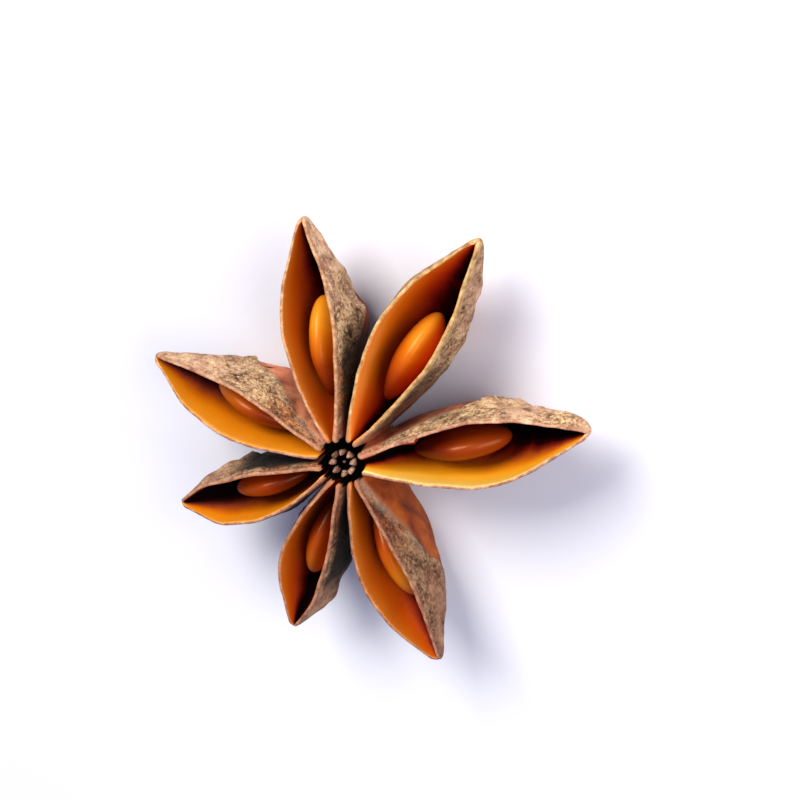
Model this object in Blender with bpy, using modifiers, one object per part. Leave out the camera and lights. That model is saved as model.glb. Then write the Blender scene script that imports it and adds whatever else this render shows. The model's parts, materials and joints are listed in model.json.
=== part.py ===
"""Star anise: a dried ripe fruit, lying with its split pods facing up and a seed in each.

The husk grew as one piece. Its seven pods are boat-shaped: each has two thin lips round
a long mouth, a deep belly with a keel beneath, and a beak at its outer end. They meet at
a short column, whose crown stands in a small well between the inner ends of the lips.
Lengths are in metres and angles in degrees. Left of a pod is anticlockwise from above.
"""

import math
from dataclasses import dataclass

import bmesh
import bpy
from mathutils import Vector

# Where the column stands, from the middle of the fruit's footprint
COLUMN_X = -0.0018
COLUMN_Y = -0.0012

# Heights above the table
LIP_HEIGHT = 0.0088
LIP_ARCH = 0.0006
WELL_FLOOR = 0.0062
CROWN_TOP = 0.0079
COLUMN_BOTTOM = 0.0022

# The column, the crown on top of it and the stalk's scar under it
WELL_RADIUS = 0.00175
COLUMN_RADIUS = 0.0022
COLUMN_CHAMFER = 0.0006
CROWN_RADIUS = 0.0009
CROWN_ROUNDING = 0.0002
CROWN_HOLE_RADIUS = 0.0004
CROWN_HOLE_DEPTH = 0.0007
CROWN_LOBES = 7
CROWN_LOBE_SHARE = 0.14
SCAR_RADIUS = 0.0009
SCAR_DEPTH = 0.0003

# A pod's section: how far its flanks and its lining swell beyond a plain boat
BELLY_BULGE = 0.00085
LINING_BULGE = 0.00042
ROOT_BULGE = 0.0006
ROOT_BULGE_END = 0.25
FLANK_POWER = 0.8
LENGTH_POWER = 0.85

# The rim round a mouth, which thins towards the beak, and the slit at its inner end
RIM_WIDTH = 0.00036
RIM_TAPER = 0.6
RIM_TAPER_START = 0.65
SLIT_HALF_WIDTH = 0.00012
THROAT_END = 0.4

# The flat that the next pod pressed on a flank. It lies below an edge that slants from
# the lip's inner end down to the keel, so the edge is an angle round the section
PRESS_START = 0.03
PRESS_END = 0.70
PRESS_WIDE = 88
PRESS_NARROW = 12
PRESS_BLEND = 9
PRESS_SHARE = 0.55

# The rind's coarse folds: waves with how many run along a pod and how many round it,
# their size, and where they die out at the lips, the beak and the root
FOLD_HEIGHT = 0.00014
FOLD_WAVES = ((4.3, 1.3, 1.0), (2.9, -2.2, 1.0), (6.1, 2.4, 0.7))
FOLD_TURN = 3
FOLD_FADE_LIP = 0.25
FOLD_FADE_BEAK = 0.3
FOLD_FADE_ROOT = 0.1

# A seed: how deep its middle lies as a share of the belly, its half height and half
# thickness as shares of its half length, how much its inner end thins, and its ridge
SEED_SINK = 0.48
SEED_TALL = 0.58
SEED_THICK = 0.33
SEED_SLENDER = 0.28
SEED_RIDGE = 0.12

# Half a mouth's width, a belly's depth and a hollow's depth along a pod, each as
# (share of the pod's length, share of the pod's own measure)
MOUTH = ((0, 0), (0.17, 0.47), (0.33, 0.82), (0.52, 1), (0.70, 0.84), (0.85, 0.47),
         (0.95, 0.17), (1, 0.04))
DEPTH = ((0, 0.74), (0.2, 0.93), (0.4, 1), (0.6, 0.84), (0.8, 0.44), (0.92, 0.24), (1, 0.09))
HOLLOW = ((-0.03, 0.28), (0, 0.30), (0.12, 0.60), (0.25, 0.77), (0.4, 0.82), (0.6, 0.70),
          (0.8, 0.34), (0.93, 0.10), (0.97, 0.04))
HOLLOW_START = -0.03
HOLLOW_END = 0.97

# How finely each shape is cut
BODY_STATIONS = 22
HOLLOW_STATIONS = 20
END_CROWDING = 0.03
BODY_STEPS = 18
HOLLOW_STEPS = 8
COLUMN_STEPS = 28
SEED_SEGMENTS = 16
SEED_RINGS = 11


@dataclass(frozen=True)
class Pod:
    """One pod and its seed.

    The line between its lips starts at the well on the bearing root and ends at the beak on
    the bearing tip, reach away from the column and drop below the lips' inner ends. Left and
    right are the mouth's half widths, and throat is what both have left at the well.
    """

    root: float
    tip: float
    reach: float
    drop: float
    left: float
    right: float
    depth: float
    seed_length: float
    seed_place: float
    seed_shift: float = 0
    throat: float = 0.0005


PODS = (
    Pod(root=-4, tip=9.2, reach=0.0203, drop=0.0016, left=0.0026, right=0.0030, depth=0.0091,
        seed_length=0.0081, seed_place=0.41, throat=0.0009),
    Pod(root=64, tip=57.2, reach=0.0214, drop=0.0020, left=0.0032, right=0.0023, depth=0.0092,
        seed_length=0.0085, seed_place=0.40),
    Pod(root=119, tip=98.7, reach=0.0197, drop=0.0020, left=0.0025, right=0.0021, depth=0.0090,
        seed_length=0.0084, seed_place=0.41, seed_shift=0.0001),
    Pod(root=165, tip=154.5, reach=0.0182, drop=0.0008, left=0.0026, right=0.0017, depth=0.0094,
        seed_length=0.0079, seed_place=0.44, seed_shift=0.0003),
    Pod(root=210, tip=197.5, reach=0.0158, drop=0.0006, left=0.0027, right=0.0014, depth=0.0080,
        seed_length=0.0065, seed_place=0.45, seed_shift=0.0002),
    Pod(root=247, tip=249, reach=0.0162, drop=0.0008, left=0.0019, right=0.0026, depth=0.0082,
        seed_length=0.0066, seed_place=0.45, seed_shift=-0.0002),
    Pod(root=293, tip=292.6, reach=0.0184, drop=0.0010, left=0.0015, right=0.0027, depth=0.0094,
        seed_length=0.0080, seed_place=0.44, seed_shift=-0.0004),
)


def clear_scene():
    """Removes every object, such as the startup cube."""
    for obj in list(bpy.data.objects):
        bpy.data.objects.remove(obj, do_unlink=True)


def new_collection(name):
    """A collection linked to the scene."""
    made = bpy.data.collections.new(name)
    bpy.context.scene.collection.children.link(made)
    return made


def new_material(name, colour, roughness):
    """A plain Principled material."""
    made = bpy.data.materials.new(name)
    made.use_nodes = True
    shader = made.node_tree.nodes["Principled BSDF"]
    shader.inputs["Base Color"].default_value = (*colour, 1)
    shader.inputs["Roughness"].default_value = roughness
    return made


def eased(points, x):
    """The height at x of a smooth curve through the points, which never overshoots them."""
    steps = [(b[1] - a[1]) / (b[0] - a[0]) for a, b in zip(points, points[1:])]
    slopes = [steps[0]]
    for before, after in zip(steps, steps[1:]):
        slopes.append(2 * before * after / (before + after) if before * after > 0 else 0)
    slopes.append(steps[-1])
    index = max(i for i in range(len(steps)) if i == 0 or points[i][0] <= x)
    (x0, y0), (x1, y1) = points[index], points[index + 1]
    width = x1 - x0
    t = min(1, max(0, (x - x0) / width))
    return (
        (2 * t**3 - 3 * t**2 + 1) * y0
        + (t**3 - 2 * t**2 + t) * width * slopes[index]
        + (3 * t**2 - 2 * t**3) * y1
        + (t**3 - t**2) * width * slopes[index + 1]
    )


def smooth_step(x):
    """0 below 0, 1 above 1, and a smooth rise between them."""
    t = min(1, max(0, x))
    return t * t * (3 - 2 * t)


def on_bearing(degrees, radius):
    """A level vector of this length on a bearing from +X."""
    angle = math.radians(degrees)
    return Vector((radius * math.cos(angle), radius * math.sin(angle), 0))


def pod_frame(pod, u):
    """The point between the lips at share u of the pod's length, and the way to its left."""
    column = Vector((COLUMN_X, COLUMN_Y, 0))
    root = on_bearing(pod.root, WELL_RADIUS)
    along = on_bearing(pod.tip, pod.reach) - root
    height = LIP_HEIGHT - pod.drop * u * abs(u) + LIP_ARCH * 4 * u * (1 - u)
    left = Vector((-along.y, along.x, 0)).normalized()
    return column + root + along * u + Vector((0, 0, height)), left


def mouth_halves(pod, u):
    """The lips' outer edges at u: how far left and how far right of the middle."""
    throat = pod.throat * max(0, 1 - u / THROAT_END) ** 2
    share = eased(MOUTH, u)
    return throat + pod.left * share, throat + pod.right * share


def pressed(u, angle):
    """1 on the flat where the next pod pressed, 0 on the free rind."""
    share = (u - PRESS_START) / (PRESS_END - PRESS_START)
    edge = PRESS_WIDE + (PRESS_NARROW - PRESS_WIDE) * share
    return smooth_step((edge - abs(angle)) / PRESS_BLEND)


def fold(pod, u, angle):
    """How far the rind stands out or in, where it isn't pressed flat."""
    across = angle / 90
    start = math.radians(pod.tip) * FOLD_TURN
    waves = sum(
        size * math.sin(math.tau * (along * u + around * across) + start * order)
        for order, (along, around, size) in enumerate(FOLD_WAVES, 1)
    )
    fade = (
        smooth_step((1 - abs(across)) / FOLD_FADE_LIP)
        * smooth_step((1 - u) / FOLD_FADE_BEAK)
        * smooth_step(u / FOLD_FADE_ROOT)
    )
    return FOLD_HEIGHT * waves * fade * (1 - pressed(u, angle))


def section_point(pod, u, angle, halves, deep, bulge, lift=0):
    """A point of the U-shaped section at u, from -90 at the right lip to 90 at the left."""
    middle, left = pod_frame(pod, u)
    a = math.radians(abs(angle))
    half = halves[0] if angle > 0 else halves[1]
    out = half * math.sin(a) ** FLANK_POWER + bulge * math.sin(2 * a) + lift * math.sin(a)
    down = (deep + lift) * math.cos(a)
    return middle + left * math.copysign(out, angle) - Vector((0, 0, down))


def section_angles(steps):
    """Even angles from lip to lip."""
    return [-90 + 180 * i / steps for i in range(steps + 1)]


def body_ring(pod, u):
    """The pod's outside at u, from the right lip under the belly to the left lip."""
    belly = BELLY_BULGE * math.sin(math.pi * u**LENGTH_POWER)
    root = ROOT_BULGE * max(0, 1 - u / ROOT_BULGE_END)
    deep = pod.depth * eased(DEPTH, u)
    ring = []
    for angle in section_angles(BODY_STEPS):
        bulge = root + belly * (1 - PRESS_SHARE * pressed(u, angle))
        lift = fold(pod, u, angle)
        ring.append(section_point(pod, u, angle, mouth_halves(pod, u), deep, bulge, lift))
    return ring


def hollow_ring(pod, u):
    """The pod's lining at u, carried on above the lips so that it cuts the mouth open."""
    inside = max(u, 0)
    rim = RIM_WIDTH * (1 - RIM_TAPER * smooth_step((u - RIM_TAPER_START) / (1 - RIM_TAPER_START)))
    halves = [max(half - rim, SLIT_HALF_WIDTH) for half in mouth_halves(pod, inside)]
    bulge = LINING_BULGE * math.sin(math.pi * inside**LENGTH_POWER)
    deep = pod.depth * eased(HOLLOW, u)
    ring = [section_point(pod, u, angle, halves, deep, bulge)
            for angle in section_angles(HOLLOW_STEPS)]
    over = Vector((0, 0, LIP_HEIGHT / 4))
    return ring + [ring[-1] + over, ring[0] + over]


def stations(low, high, count):
    """Shares of a pod's length, a little closer together near its ends."""
    steps = [i / (count - 1) for i in range(count)]
    return [low + (high - low) * (t - END_CROWDING * math.sin(math.tau * t)) for t in steps]


def mesh_object(name, bm, collection):
    """An object with this mesh, its faces turned outwards."""
    bmesh.ops.recalc_face_normals(bm, faces=bm.faces)
    mesh = bpy.data.meshes.new(name)
    bm.to_mesh(mesh)
    bm.free()
    made = bpy.data.objects.new(name, mesh)
    collection.objects.link(made)
    return made


def loft(name, rings, collection):
    """A closed body through the rings, with a flat face at each end."""
    bm = bmesh.new()
    loops = [[bm.verts.new(point) for point in ring] for ring in rings]
    for near, far in zip(loops, loops[1:]):
        for i in range(len(near)):
            bm.faces.new((near[i - 1], near[i], far[i], far[i - 1]))
    bm.faces.new(loops[0])
    bm.faces.new(loops[-1])
    return mesh_object(name, bm, collection)


def table_block(collection):
    """A block whose top is the table, to cut the bellies' small flats."""
    bm = bmesh.new()
    bmesh.ops.create_cube(bm, size=4 * LIP_HEIGHT)
    bmesh.ops.scale(bm, verts=bm.verts, vec=(2, 2, 1))
    bmesh.ops.translate(bm, verts=bm.verts, vec=(0, 0, -2 * LIP_HEIGHT))
    mesh_object("table block", bm, collection)


def apply_modifiers(obj):
    """Gives the object the mesh that its modifiers make."""
    graph = bpy.context.evaluated_depsgraph_get()
    mesh = bpy.data.meshes.new_from_object(obj.evaluated_get(graph))
    obj.modifiers.clear()
    obj.data = mesh


def combine(obj, operation, others):
    """Joins or cuts all of a collection's objects at once, and then removes them."""
    boolean = obj.modifiers.new(operation.title(), "BOOLEAN")
    boolean.operation = operation
    boolean.operand_type = "COLLECTION"
    boolean.collection = others
    boolean.solver = "MANIFOLD"
    apply_modifiers(obj)
    for other in list(others.objects):
        bpy.data.objects.remove(other, do_unlink=True)
    bpy.data.collections.remove(others)


def column_profile():
    """The column's outline as (radius, height), from the crown's hole down to the scar."""
    return (
        (0, CROWN_TOP - CROWN_HOLE_DEPTH),
        (CROWN_HOLE_RADIUS, CROWN_TOP - CROWN_HOLE_DEPTH),
        (CROWN_HOLE_RADIUS, CROWN_TOP - CROWN_ROUNDING / 2),
        (CROWN_RADIUS - CROWN_ROUNDING, CROWN_TOP),
        (CROWN_RADIUS, CROWN_TOP - CROWN_ROUNDING),
        (CROWN_RADIUS, WELL_FLOOR),
        (COLUMN_RADIUS, WELL_FLOOR),
        (COLUMN_RADIUS, COLUMN_BOTTOM + COLUMN_CHAMFER),
        (COLUMN_RADIUS - COLUMN_CHAMFER, COLUMN_BOTTOM),
        (SCAR_RADIUS, COLUMN_BOTTOM),
        (SCAR_RADIUS, COLUMN_BOTTOM + SCAR_DEPTH),
        (0, COLUMN_BOTTOM + SCAR_DEPTH),
    )


def build_column(collection):
    """The turned column, with the crown pinched into lobes, set on its place."""
    bm = bmesh.new()
    points = [bm.verts.new((radius, 0, height)) for radius, height in column_profile()]
    for upper, lower in zip(points, points[1:]):
        bm.edges.new((upper, lower))
    mesh = bpy.data.meshes.new("husk")
    bm.to_mesh(mesh)
    bm.free()
    column = bpy.data.objects.new("husk", mesh)
    collection.objects.link(column)
    screw = column.modifiers.new("Turn", "SCREW")
    screw.steps = COLUMN_STEPS
    screw.render_steps = COLUMN_STEPS
    screw.use_merge_vertices = True
    screw.merge_threshold = 1e-6
    apply_modifiers(column)
    for vertex in column.data.vertices:
        x, y, height = vertex.co
        lobe = 1
        if height > WELL_FLOOR:
            lobe += CROWN_LOBE_SHARE * math.cos(CROWN_LOBES * math.atan2(y, x))
        vertex.co = (COLUMN_X + x * lobe, COLUMN_Y + y * lobe, height)
    return column


def build_husk(collection):
    """The column and all seven pods joined, then hollowed and stood on small flats."""
    husk = build_column(collection)
    bodies = new_collection("pod bodies")
    for number, pod in enumerate(PODS, 1):
        rings = [body_ring(pod, u) for u in stations(0, 1, BODY_STATIONS)]
        loft(f"body {number}", rings, bodies)
    combine(husk, "UNION", bodies)
    cutters = new_collection("cutters")
    for number, pod in enumerate(PODS, 1):
        rings = [hollow_ring(pod, u) for u in stations(HOLLOW_START, HOLLOW_END, HOLLOW_STATIONS)]
        loft(f"hollow {number}", rings, cutters)
    table_block(cutters)
    combine(husk, "DIFFERENCE", cutters)
    husk.data.shade_smooth()
    husk.data.set_sharp_from_angle(angle=math.radians(40))
    return husk


def build_seed(name, pod, collection):
    """A flattened drop with a thin inner end, lying along the pod's hollow."""
    bm = bmesh.new()
    bmesh.ops.create_uvsphere(bm, u_segments=SEED_SEGMENTS, v_segments=SEED_RINGS, radius=1)
    middle, left = pod_frame(pod, pod.seed_place)
    ahead = (pod_frame(pod, pod.seed_place + 0.1)[0] - middle).normalized()
    up = ahead.cross(left)
    half = pod.seed_length / 2
    centre = middle + left * pod.seed_shift - up * SEED_SINK * pod.depth
    for vertex in bm.verts:
        across, over, out = vertex.co
        slender = 1 - SEED_SLENDER * max(0, -out) ** 1.5
        tall = SEED_TALL * slender * (1 + SEED_RIDGE * over**4)
        vertex.co = centre + half * (
            ahead * out + left * across * SEED_THICK * slender + up * over * tall
        )
    seed = mesh_object(name, bm, collection)
    seed.data.shade_smooth()
    return seed


def main():
    """Builds the husk and a seed for each pod, and gives them their materials."""
    clear_scene()
    fruit = new_collection("star anise")
    rind = new_material("husk", colour=(0.20, 0.08, 0.035), roughness=0.75)
    coat = new_material("seed", colour=(0.45, 0.14, 0.02), roughness=0.25)
    husk = build_husk(fruit)
    husk.data.materials.clear()
    husk.data.materials.append(rind)
    for number, pod in enumerate(PODS, 1):
        seed = build_seed(f"seed_{number}", pod, fruit)
        seed.data.materials.append(coat)


main()
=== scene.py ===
"""The looks of a star anise: a dried fruit that lies on its keels with its mouths up.

The husk and the seeds are modelled finer than the frame's solids, on the same lengths, and
dressed in procedural finishes. Lengths are in metres and angles in degrees. A pod's left is
anticlockwise from above, u is a share of its length from the well to the beak, and an angle
round its section runs from -90 at the right lip, under the belly, to 90 at the left lip.
"""

import json
import logging
import math
from dataclasses import dataclass, field
from enum import Enum

import bpy
import numpy as np
from mathutils import Matrix, Vector, kdtree, noise

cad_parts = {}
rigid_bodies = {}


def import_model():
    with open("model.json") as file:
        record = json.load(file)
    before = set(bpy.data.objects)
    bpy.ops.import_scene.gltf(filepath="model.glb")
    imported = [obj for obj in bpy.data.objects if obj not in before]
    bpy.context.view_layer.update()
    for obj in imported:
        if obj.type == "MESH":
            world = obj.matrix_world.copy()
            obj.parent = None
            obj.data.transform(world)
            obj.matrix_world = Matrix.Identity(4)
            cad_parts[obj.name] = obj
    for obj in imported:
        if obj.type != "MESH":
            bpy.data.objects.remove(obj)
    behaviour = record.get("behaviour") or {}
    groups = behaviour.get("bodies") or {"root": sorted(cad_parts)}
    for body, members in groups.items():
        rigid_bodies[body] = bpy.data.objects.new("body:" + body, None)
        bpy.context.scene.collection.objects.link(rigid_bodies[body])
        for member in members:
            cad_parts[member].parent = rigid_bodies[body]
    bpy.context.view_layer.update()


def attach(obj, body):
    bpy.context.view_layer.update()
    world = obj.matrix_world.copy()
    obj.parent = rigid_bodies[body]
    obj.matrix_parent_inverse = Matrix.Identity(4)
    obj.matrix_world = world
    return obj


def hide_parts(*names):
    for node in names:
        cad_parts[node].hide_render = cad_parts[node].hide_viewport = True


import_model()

Socket = bpy.types.NodeSocket
Piece = bpy.types.Object
MM = 0.001


class Side(Enum):
    """A pod's two lips, by the sign of the angle round the section."""

    LEFT = 1
    RIGHT = -1


def smooth_step(x: np.ndarray) -> np.ndarray:
    """0 below 0, 1 above 1, and a smooth rise between them."""
    t = np.clip(x, 0, 1)
    return t * t * (3 - 2 * t)


def bell(x: np.ndarray) -> np.ndarray:
    """1 at 0 and a smooth fall on both sides."""
    return np.exp(-x * x)


def waves(points: np.ndarray, pitch: float, seed: float) -> np.ndarray:
    """Even noise at some points.

    Args:
        points: the places, one row each.
        pitch: about how far one hump is from the next, in the points' own units.
        seed: tells one noise from another.

    Returns:
        One value a point, about -1 to 1.
    """
    shift = Vector((seed * 7.3, seed * -3.1, seed * 5.7))
    return np.array([noise.noise(Vector(p) / pitch + shift) for p in points])


@dataclass(frozen=True)
class Outline:
    """A smooth curve through a few points, which never overshoots them."""

    points: tuple[tuple[float, float], ...]

    def at(self, x: np.ndarray) -> np.ndarray:
        """The curve's heights.

        Args:
            x: where to read it.

        Returns:
            Its height at each x.
        """
        xs, ys = np.array(self.points).T
        steps = np.diff(ys) / np.diff(xs)
        slopes = [steps[0]]
        for before, after in zip(steps, steps[1:]):
            slopes.append(2 * before * after / (before + after) if before * after > 0 else 0)
        slopes = np.array([*slopes, steps[-1]])
        index = np.clip(np.searchsorted(xs, x, side="right") - 1, 0, len(steps) - 1)
        width = np.diff(xs)[index]
        t = np.clip((x - xs[index]) / width, 0, 1)
        return (
            (2 * t**3 - 3 * t**2 + 1) * ys[index]
            + (t**3 - 2 * t**2 + t) * width * slopes[index]
            + (3 * t**2 - 2 * t**3) * ys[index + 1]
            + (t**3 - t**2) * width * slopes[index + 1]
        )


@dataclass(frozen=True)
class Middle:
    """The middle of the fruit: the column's place, the well round its crown, and their heights.

    Of the crown's beads, gap is how far the wall drops between them, sharp how narrow they are,
    stray how unevenly they stand round the ring, and sag, grain, round and rough how their
    tops and sides vary. The well's painted shade is centred dark_shift away from the column.
    """

    x: float = -0.0018
    y: float = -0.0012
    lip_height: float = 0.0088
    well_radius: float = 0.00175
    well_floor: float = 0.0060
    well_floor_radius: float = 0.00142
    shoulder: float = 0.0046
    column_radius: float = 0.0022
    column_bottom: float = 0.0022
    column_chamfer: float = 0.0006
    crown_shift: tuple[float, float] = (-0.00040, -0.00040)
    crown_radius: float = 0.00102
    crown_top: float = 0.0081
    crown_lobes: int = 8
    crown_gap: float = 0.0009
    crown_waist: float = 0.08
    crown_flare: float = 0.10
    crown_sharp: float = 1.2
    crown_stray: float = 1.4
    crown_sag: float = 0.00012
    crown_grain: float = 0.00008
    crown_round: float = 0.00022
    crown_rough: float = 0.06
    hole_radius: float = 0.00070
    hole_depth: float = 0.0014
    pip_radius: float = 0.00013
    pip_height: float = 0.0007
    dark_shift: tuple[float, float] = (-0.00030, -0.00018)
    scar_radius: float = 0.0009
    scar_depth: float = 0.0003


MIDDLE = Middle()


@dataclass(frozen=True)
class Splinter:
    """A sliver that stands off a lip's inner edge and ends towards the beak."""

    side: Side
    start: float
    end: float
    reach: float


@dataclass(frozen=True)
class Pit:
    """A small hole in the rind, at a share of the pod's length and an angle round it."""

    u: float
    angle: float
    radius: float
    depth: float


@dataclass(frozen=True)
class Hump:
    """A broad swelling of a flank, or a hollow where its lift is below 0."""

    u: float
    angle: float
    lift: float
    along: float = 0.09
    around: float = 30


class Lining(Enum):
    """The strips of colours that a pod's lining can have: gold, or one laid over the gold: yellow
    and amber painted lighter, as painted light, and russet darker and redder, as painted shade.
    """

    GOLD = "gold"
    YELLOW = "yellow"
    RUSSET = "russet"
    AMBER = "amber"


OVER_GOLD = (Lining.YELLOW, Lining.RUSSET, Lining.AMBER)


@dataclass(frozen=True)
class Pod:
    """One pod and its seed, with the same lengths as the frame's solids.

    The line between its lips starts at the well on the bearing root and ends at the beak on
    the bearing tip, reach away from the column and drop below the lips' inner ends. The lips
    start at the share start of it, which is below 0 where they reach over the well. Left and
    right are the mouth's half widths, blunt is what each gains near the beak, and throat is
    what both have left at the well. The rest is for the finish: the lining's strip of colours,
    painted lighter on lit pods and darker on pods in shade, and the turn to the left of its
    dark bottom, which is painted shade; shares of 0 to 1 for how much painted shade darkens the
    lining's left wall, how dusky the rind, how rusty its root, how far dirt and painted shade
    darken its low half and the share of its length where that ends, how worn its edge and how
    much painted light brightens the seed; and whether the seed is paler at its outer end.
    """

    number: int
    root: float
    tip: float
    reach: float
    drop: float
    left: float
    right: float
    depth: float
    seed_length: float
    seed_place: float
    seed_shift: float = 0
    throat: float = 0.0005
    start: float = 0
    blunt: tuple[float, float] = (0, 0)
    humps: tuple[Hump, ...] = ()
    splinters: tuple[Splinter, ...] = ()
    pits: tuple[Pit, ...] = ()
    lining: Lining = Lining.RUSSET
    bottom: float = 0
    left_painted_shade: float = 0
    dusk: float = 0
    rust: float = 0.85
    dirt_and_shade: float = 0
    dirt_and_shade_end: float = 0.55
    worn: float = 0
    painted_seed_light: float = 0.2
    pale_outer_end: bool = False


PODS = (
    Pod(1, root=-4, tip=9.2, reach=0.0203, drop=0.0016, left=0.0026, right=0.0030, depth=0.0091,
        seed_length=0.0082, seed_place=0.41, seed_shift=-0.0001, throat=0.0009, start=-0.018,
        humps=(Hump(0.92, 52, 0.0007), Hump(0.68, 50, -0.0003),
               Hump(0.22, 38, 0.0007, along=0.14)),
        splinters=(Splinter(Side.LEFT, start=0.14, end=0.27, reach=0.00035),),
        lining=Lining.YELLOW, left_painted_shade=0.85, rust=0.15, dirt_and_shade=0.15, painted_seed_light=0),
    Pod(2, root=64, tip=57.2, reach=0.0214, drop=0.0020, left=0.0032, right=0.0022, depth=0.0092,
        seed_length=0.0085, seed_place=0.412, seed_shift=-0.0001, start=-0.005,
        humps=(Hump(0.86, -52, 0.0005, along=0.12), Hump(0.45, -55, 0.0003, along=0.12),
               Hump(0.24, -38, 0.0008, along=0.14)),
        lining=Lining.AMBER, bottom=-18, dusk=0.35, rust=1, dirt_and_shade=0.75, worn=1, painted_seed_light=0.95),
    Pod(3, root=119, tip=98.7, reach=0.0197, drop=0.0020, left=0.0026, right=0.0022,
        depth=0.0090, seed_length=0.0085, seed_place=0.41, seed_shift=0.0003,
        humps=(Hump(0.65, -48, -0.0009, along=0.07), Hump(0.50, -55, 0.0003, along=0.06)),
        rust=1, dirt_and_shade=0.85, dirt_and_shade_end=0.56, worn=0.3, painted_seed_light=1),
    Pod(4, root=165, tip=154.5, reach=0.0184, drop=0.0008, left=0.0028, right=0.0016,
        depth=0.0094, seed_length=0.0083, seed_place=0.455, seed_shift=0.0004,
        start=0.02, blunt=(0.00025, 0), humps=(Hump(0.38, -52, 0.0008, along=0.1),),
        pits=(Pit(0.51, -46, 0.00045, 0.0004), Pit(0.22, -78, 0.00028, 0.00018),
              Pit(0.27, -70, 0.00022, 0.00016), Pit(0.17, -72, 0.00022, 0.00014)),
        lining=Lining.GOLD, dusk=0.12, painted_seed_light=0.25, pale_outer_end=True),
    Pod(5, root=210, tip=197.5, reach=0.0161, drop=0.0006, left=0.0028, right=0.0014,
        depth=0.0080, seed_length=0.0070, seed_place=0.465, seed_shift=0.0004,
        start=0.024, blunt=(0.0004, 0.0004), lining=Lining.GOLD, dusk=0.45, dirt_and_shade=1,
        dirt_and_shade_end=0.68, painted_seed_light=0.1, pale_outer_end=True),
    Pod(6, root=247, tip=249, reach=0.0164, drop=0.0008, left=0.0015, right=0.0026,
        depth=0.0082, seed_length=0.0071, seed_place=0.475, seed_shift=-0.0004,
        start=0.012, blunt=(0.00025, 0.0001), humps=(Hump(0.82, 50, 0.0006, along=0.14),),
        dusk=0.6, dirt_and_shade=0.95, dirt_and_shade_end=0.78, painted_seed_light=0.4, pale_outer_end=True),
    Pod(7, root=293, tip=292.3, reach=0.0184, drop=0.0010, left=0.0014, right=0.0030,
        depth=0.0094, seed_length=0.0084, seed_place=0.455, seed_shift=-0.0006,
        blunt=(0, 0.0002), humps=(Hump(0.52, 50, -0.0005, along=0.12),),
        pits=(Pit(0.43, 27, 0.0004, 0.0004), Pit(0.16, 80, 0.00022, 0.00014)),
        dusk=0.7, rust=1, painted_seed_light=0.9, pale_outer_end=True),
)


class Workbench:
    """The few modelling steps that several pieces share."""

    @staticmethod
    def clear_selection() -> None:
        """Leaves object mode's selection empty."""
        bpy.ops.object.select_all(action="DESELECT")

    @staticmethod
    def pick(piece: Piece, kind: str, chosen: np.ndarray) -> None:
        """Goes to edit mode with only some of a piece's points or faces selected.

        Args:
            piece: the piece, in object mode.
            kind: VERT for points and FACE for faces.
            chosen: whether each of them is selected.
        """
        bpy.ops.object.mode_set(mode="EDIT")
        bpy.ops.mesh.select_mode(type=kind)
        bpy.ops.mesh.select_all(action="DESELECT")
        bpy.ops.object.mode_set(mode="OBJECT")
        parts = piece.data.polygons if kind == "FACE" else piece.data.vertices
        parts.foreach_set("select", chosen)
        bpy.ops.object.mode_set(mode="EDIT")

    @staticmethod
    def shaped_ball(name: str, rings: np.ndarray, start: np.ndarray, end: np.ndarray) -> Piece:
        """A ball whose rings are drawn out into a given form.

        Args:
            name: the piece's name.
            rings: the rings' points, as (ring, point round it, xyz).
            start: where the first pole goes.
            end: where the last pole goes.

        Returns:
            The closed piece.
        """
        count, segments = rings.shape[:2]
        Workbench.clear_selection()
        bpy.ops.mesh.primitive_uv_sphere_add(segments=segments, ring_count=count + 1, radius=1)
        ball = bpy.context.object
        ball.name = name
        x, y, z = Workbench.places(ball).T
        ring = np.rint(np.arccos(np.clip(z, -1, 1)) / math.pi * (count + 1)).astype(int)
        turn = np.rint(np.arctan2(y, x) / math.tau * segments).astype(int) % segments
        table = np.empty((count + 2, segments, 3))
        table[0], table[1:-1], table[-1] = start, rings, end
        ball.data.vertices.foreach_set("co", table[ring, turn].ravel())
        ball.data.update()
        bpy.ops.object.mode_set(mode="EDIT")
        bpy.ops.mesh.select_all(action="SELECT")
        bpy.ops.mesh.normals_make_consistent(inside=False)
        bpy.ops.object.mode_set(mode="OBJECT")
        return ball

    @staticmethod
    def places(piece: Piece) -> np.ndarray:
        """The piece's points, one row each."""
        co = np.empty(len(piece.data.vertices) * 3)
        piece.data.vertices.foreach_get("co", co)
        return co.reshape(-1, 3)

    @staticmethod
    def paint(piece: Piece, name: str, values: np.ndarray) -> None:
        """Keeps one number a point on the piece, for its finish to read."""
        layer = piece.data.attributes.new(name, "FLOAT", "POINT")
        layer.data.foreach_set("value", np.asarray(values, dtype=np.float32))

    @staticmethod
    def dress(piece: Piece, material: bpy.types.Material, slot: str, node: str) -> None:
        """Puts a finish on a piece, and the piece in the frame's place of a solid.

        Args:
            piece: the finished piece.
            material: its only material.
            slot: not used.
            node: the solid that it stands for.
        """
        piece.data.materials.clear()
        piece.data.materials.append(material)
        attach(piece, "root")
        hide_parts(node)


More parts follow.
